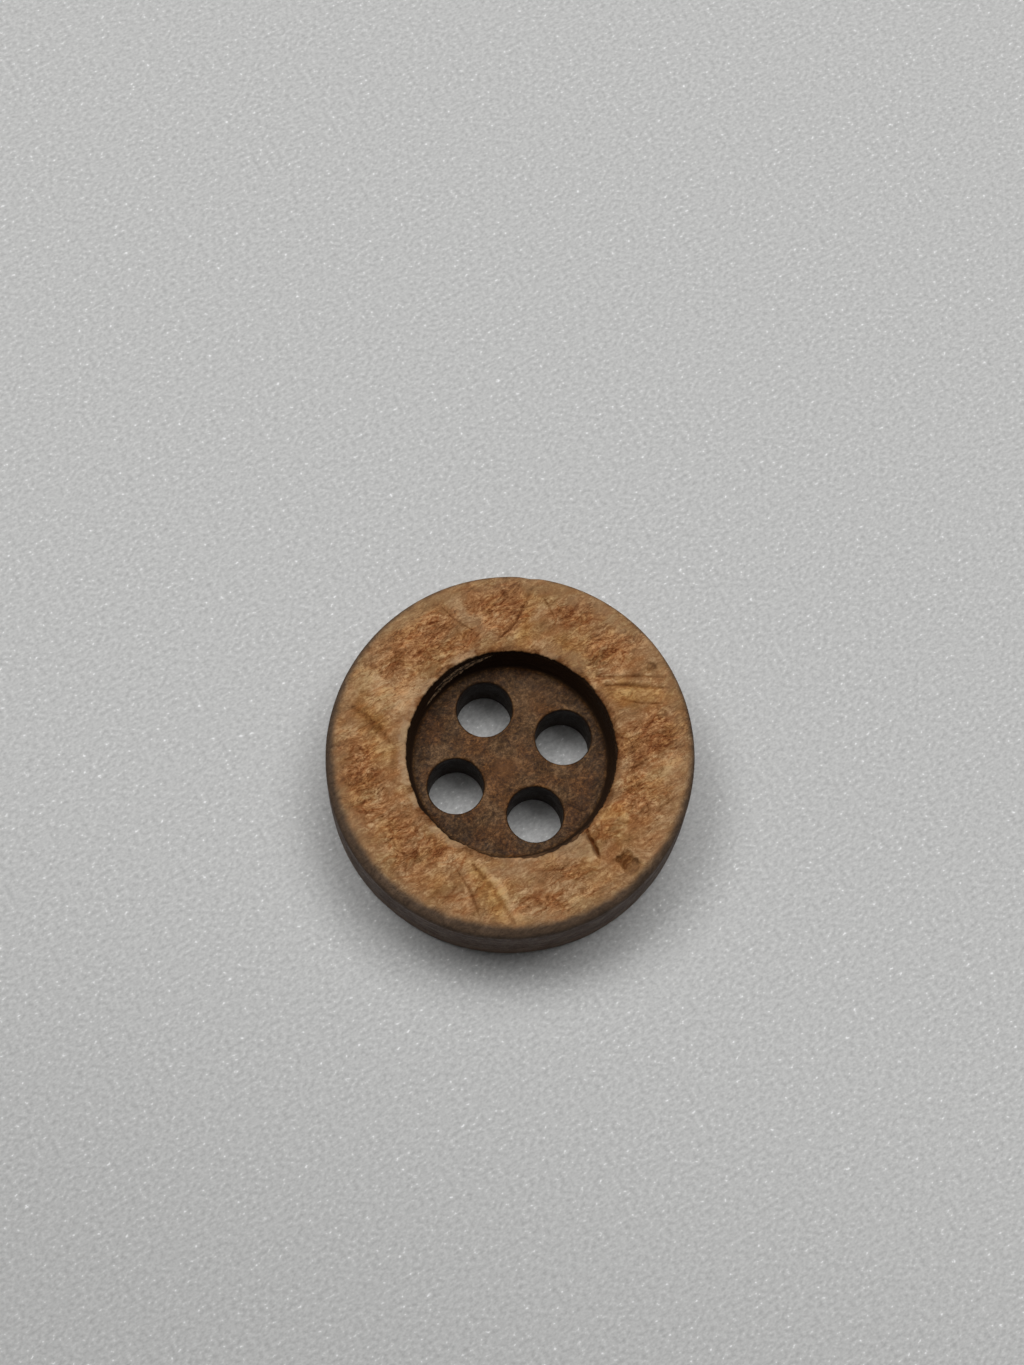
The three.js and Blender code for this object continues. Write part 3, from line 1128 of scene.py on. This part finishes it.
def floor_material():
    s = Surface("paper", 0.9)
    specks = s.noise(0.13, stretch=1.4, detail=2, roughness=0.6)
    paper = s.ramp(specks, *PAPER_RAMP)
    along_y = s.add("ShaderNodeSeparateXYZ", Vector=s.place).outputs["Y"]
    near, far = PAPER_SHADE_REACH
    shade = s.span(along_y, near * MM, far * MM, PAPER_SHADE, 1.0)
    s.feed(s.shader.inputs["Base Color"], s.mix(1.0, paper, shade, "MULTIPLY"))
    return s.material


# ---------------------------------------------------------------------------------------------
# Pieces
# ---------------------------------------------------------------------------------------------

def squeeze(mesh):
    """Draws the face's outline in along X, by less and less towards the well and the back."""
    points = read_vertices(mesh, "co")
    radius = np.hypot(points[:, 0], points[:, 1])
    share = smoothstep(WELL_MOUTH_RADIUS, OUTER_RADIUS, radius)
    share *= smoothstep(*SQUEEZE_HEIGHTS, points[:, 2])
    points[:, 0] *= 1 - SIDE_SQUEEZE * share
    write_points(mesh, points)


def place(obj, material, slot, *nodes):
    """Squeezes a finished piece, brings it to metres, gives it its material and ties it to the frame."""
    squeeze(obj.data)
    obj.data.transform(Matrix.Scale(MM, 4))
    obj.data.materials.clear()
    obj.data.materials.append(material)
    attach(obj, "root")
    if nodes:
        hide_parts(*nodes)


place(build_shell(), shell_material(), "dark_shell", "shell_core")
place(build_ring(), skin_material(), "pale_skin", "face_ring")
fibre = fibre_material()
for sliver in SPLINTERS:
    place(build_splinter(*sliver), fibre, "dark_shell")


# ---------------------------------------------------------------------------------------------
# Floor, light and camera
# ---------------------------------------------------------------------------------------------

# Half the floor's width in metres
FLOOR_REACH = 0.8

# Lamps that face the button: (name, place in metres, width and length in metres, watts)
LAMPS = [
    ("left_lamp", (-0.255, 0.088, 0.5), (0.26, 0.22), 1.16),
    ("back_lamp", (0.062, 0.200, 0.5), (0.39, 0.25), 1.53),
    ("overhead_lamp", (0.01, -0.03, 0.55), (0.2, 0.2), 0.13),
]


def build_floor():
    reach = FLOOR_REACH
    corners = [(-reach, -reach, 0), (reach, -reach, 0), (reach, reach, 0), (-reach, reach, 0)]
    floor = make_object("floor", corners, [(0, 1, 2, 3)])
    floor.data.materials.append(floor_material())


def add_lamp(name, place_m, size, watts):
    light = bpy.data.lights.new(name, "AREA")
    light.shape = "RECTANGLE"
    light.size, light.size_y = size
    light.energy = watts
    lamp = bpy.data.objects.new(name, light)
    lamp.location = place_m
    lamp.rotation_mode = "QUATERNION"
    lamp.rotation_quaternion = (-lamp.location).to_track_quat("-Z", "Y")
    bpy.context.scene.collection.objects.link(lamp)


def light_room():
    """Two wide soft lamps, on the left and behind, and a weak one overhead, in a dim room."""
    world = bpy.data.worlds.new("room")
    world.use_nodes = True
    background = world.node_tree.nodes["Background"]
    background.inputs["Color"].default_value = (0.97, 0.98, 1.0, 1)
    background.inputs["Strength"].default_value = 0.05
    bpy.context.scene.world = world
    bpy.context.scene.view_settings.view_transform = "Standard"
    for lamp in LAMPS:
        add_lamp(*lamp)


def build_camera():
    """Looks at the middle of the face from above and in front, turned a little about its own axes."""
    azimuth, elevation = math.radians(14.58), math.radians(76.27)
    distance = 0.06997
    roll, lift, swing = math.radians(5.27), math.radians(1.896), math.radians(0.04)
    back = Vector((
        math.sin(azimuth) * math.cos(elevation),
        -math.cos(azimuth) * math.cos(elevation),
        math.sin(elevation),
    ))
    camera = bpy.data.objects.new("camera", bpy.data.cameras.new("camera"))
    camera.data.lens = 55.4
    camera.data.sensor_width = 36
    camera.data.clip_start = 0.002
    camera.location = Vector((0, 0, THICKNESS * MM)) + back * distance
    camera.rotation_mode = "QUATERNION"
    aim = (-back).to_track_quat("-Z", "Y")
    camera.rotation_quaternion = (
        aim @ Quaternion((0, 0, 1), roll) @ Quaternion((1, 0, 0), lift) @ Quaternion((0, 1, 0), -swing)
    )
    bpy.context.scene.collection.objects.link(camera)
    bpy.context.scene.camera = camera


build_floor()
light_room()
build_camera()
